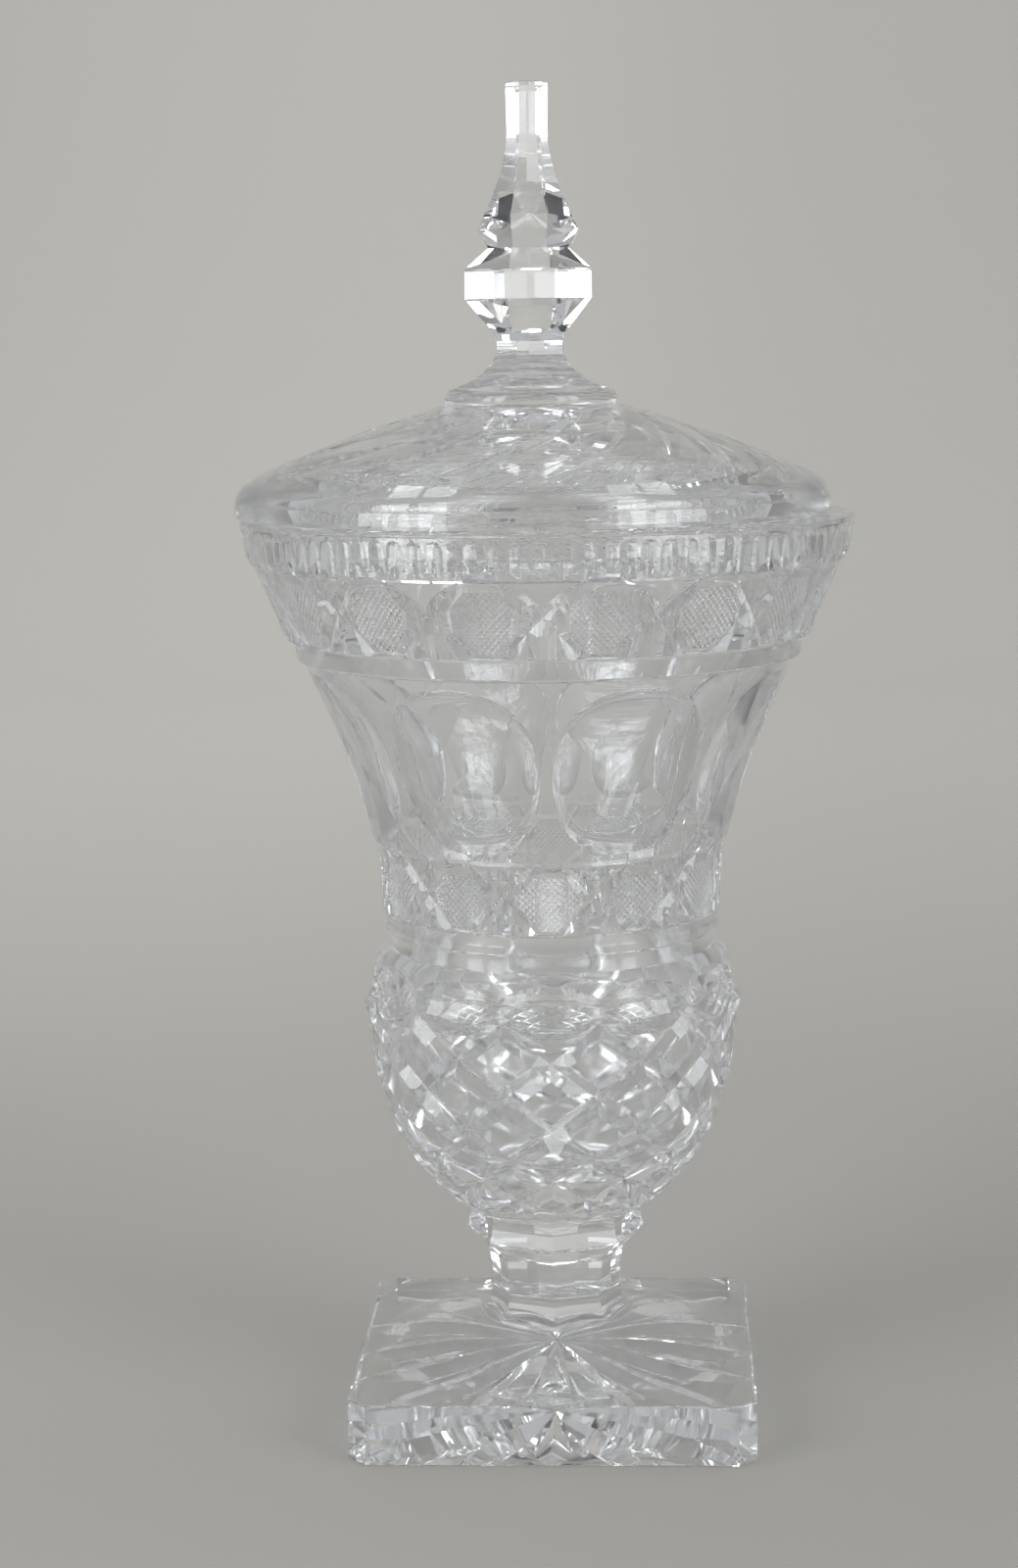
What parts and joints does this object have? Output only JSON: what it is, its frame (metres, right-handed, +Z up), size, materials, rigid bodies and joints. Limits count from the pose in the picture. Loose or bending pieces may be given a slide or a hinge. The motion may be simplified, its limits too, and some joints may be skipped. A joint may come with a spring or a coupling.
{
  "type": "covered compote",
  "caption": "Covered cut-glass urn on a square foot, with a faceted stem, banded and diamond-cut bowl, domed lid that lifts off, and a six-sided spire finial.",
  "frame": {"origin": "middle of the foot's underside, on the surface it stands on", "axes": "+Z up along the vessel's axis, -Y towards the front, foot sides along X and Y"},
  "size_m": [0.1993, 0.1978, 0.4324],
  "materials": {
    "crystal": "clear polished lead crystal"
  },
  "bodies": {
    "vessel": {"foot": "crystal", "stem": "crystal", "bowl": "crystal"},
    "cover": {"lid": "crystal", "finial": "crystal"}
  },
  "joints": [
    {"name": "lid_lift", "type": "slide", "parent": "vessel", "child": "cover", "axis": [0, 0, 1], "range_m": [0, 0.12]}
  ]
}
